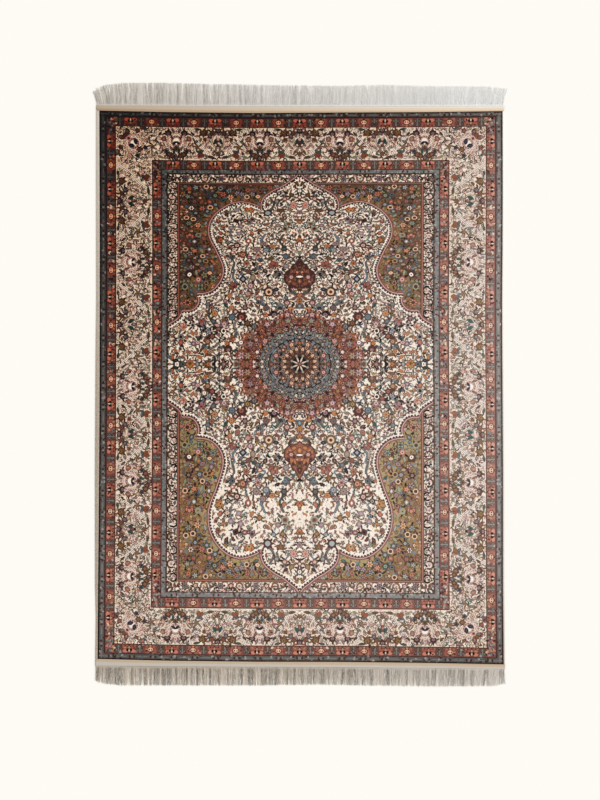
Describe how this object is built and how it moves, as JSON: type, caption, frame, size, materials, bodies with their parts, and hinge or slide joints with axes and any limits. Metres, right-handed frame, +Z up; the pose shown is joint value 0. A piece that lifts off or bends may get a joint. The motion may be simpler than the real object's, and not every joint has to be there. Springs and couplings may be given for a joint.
{
  "type": "hand-knotted silk carpet",
  "caption": "Rectangular hand-knotted silk carpet lying flat, with flat-woven ends, overcast side cords and a knotted fringe at both ends.",
  "frame": {"origin": "on the floor under the middle of the whole carpet, fringes included", "axes": "+X across the carpet, +Y along it towards the head end, +Z up from the floor"},
  "size_m": [1.4248, 2.0854, 0.0046],
  "materials": {
    "pile": "knotted silk pile with a soft sheen",
    "binding": "overcast silk yarn",
    "warp": "loose silk warp threads"
  },
  "bodies": {
    "root": {"carpet_body": "pile", "selvedge_left": "binding", "selvedge_right": "binding", "fringe_head": "warp", "fringe_foot": "warp"}
  },
  "joints": []
}
